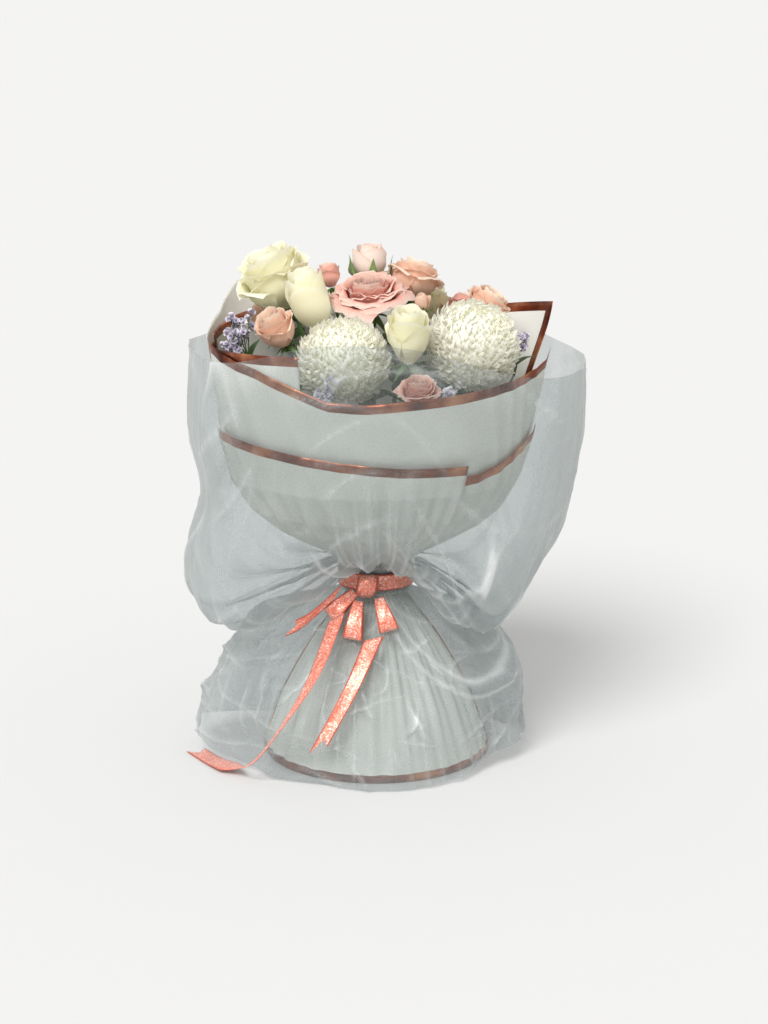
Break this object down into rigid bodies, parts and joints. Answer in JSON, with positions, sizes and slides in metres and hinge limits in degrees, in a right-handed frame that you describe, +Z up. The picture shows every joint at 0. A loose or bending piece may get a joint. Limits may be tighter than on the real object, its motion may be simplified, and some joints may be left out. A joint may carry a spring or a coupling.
{
  "type": "wrapped rose bouquet",
  "caption": "Hand-tied rose and chrysanthemum bouquet in foil-edged paper and organza with a ribbon bow, standing on its foot.",
  "frame": {"origin": "bottom centre of the bounding box, on the floor that the bouquet stands on", "axes": "+Z up along the bunch, front with the bow towards -Y, +X to the right seen from the front"},
  "size_m": [0.394, 0.307, 0.5111],
  "materials": {
    "cream_petals": "velvety fresh rose petals, cream with a yellow-green heart",
    "pink_petals": "velvety fresh petals, dusty pink with paler edges",
    "peach_petals": "velvety fresh petals, peach with cream edges",
    "blush_petals": "velvety fresh petals, pale blush",
    "white_petals": "waxy fresh petals, white with a green tinge at the heart",
    "foliage": "matt fresh stems, sepals and leaves",
    "sea_lavender": "dry papery florets, lilac and white, on green stalks",
    "foil_edged_paper": "translucent matt white flower paper with a rose gold foil border",
    "organza": "sheer shiny woven gauze",
    "satin_ribbon": "coral ribbon with a metallic glitter face",
    "twine": "twisted natural fibre"
  },
  "bodies": {
    "root": {"binding_twine": "twine", "blush_bud_top_petals": "blush_petals", "blush_bud_top_stem": "foliage", "chrysanthemum_back_petals": "white_petals", "chrysanthemum_back_stem": "foliage", "chrysanthemum_left_petals": "white_petals", "chrysanthemum_left_stem": "foliage", "chrysanthemum_right_petals": "white_petals", "chrysanthemum_right_stem": "foliage", "cream_rose_back_petals": "cream_petals", "cream_rose_back_stem": "foliage", "cream_rose_centre_petals": "cream_petals", "cream_rose_centre_stem": "foliage", "cream_rose_left_petals": "cream_petals", "cream_rose_left_stem": "foliage", "cream_rose_profile_petals": "cream_petals", "cream_rose_profile_stem": "foliage", "organza_skirt": "organza", "organza_upper": "organza", "paper_back": "foil_edged_paper", "paper_back_left": "foil_edged_paper", "paper_front": "foil_edged_paper", "paper_inner_left": "foil_edged_paper", "paper_wrap_left": "foil_edged_paper", "paper_wrap_right": "foil_edged_paper", "peach_bud_middle_petals": "peach_petals", "peach_bud_middle_stem": "foliage", "pink_rose_back_left_petals": "peach_petals", "pink_rose_back_left_stem": "foliage", "pink_rose_back_right_petals": "pink_petals", "pink_rose_back_right_stem": "foliage", "pink_rose_blush_petals": "peach_petals", "pink_rose_blush_stem": "foliage", "pink_rose_front_petals": "pink_petals", "pink_rose_front_stem": "foliage", "pink_rose_left_petals": "peach_petals", "pink_rose_left_stem": "foliage", "pink_rose_open_petals": "pink_petals", "pink_rose_open_stem": "foliage", "pink_rose_right_petals": "peach_petals", "pink_rose_right_stem": "foliage", "pink_rose_small_petals": "pink_petals", "pink_rose_small_stem": "foliage", "ribbon_band": "satin_ribbon", "ribbon_knot": "satin_ribbon", "ribbon_loop_left": "satin_ribbon", "ribbon_loop_middle": "satin_ribbon", "ribbon_loop_right": "satin_ribbon", "ribbon_tail_long": "satin_ribbon", "ribbon_tail_right": "satin_ribbon", "ribbon_tail_short": "satin_ribbon", "sea_lavender_back": "sea_lavender", "sea_lavender_back_left": "sea_lavender", "sea_lavender_front": "sea_lavender", "sea_lavender_front_left": "sea_lavender", "sea_lavender_left": "sea_lavender", "sea_lavender_right": "sea_lavender"}
  },
  "joints": []
}
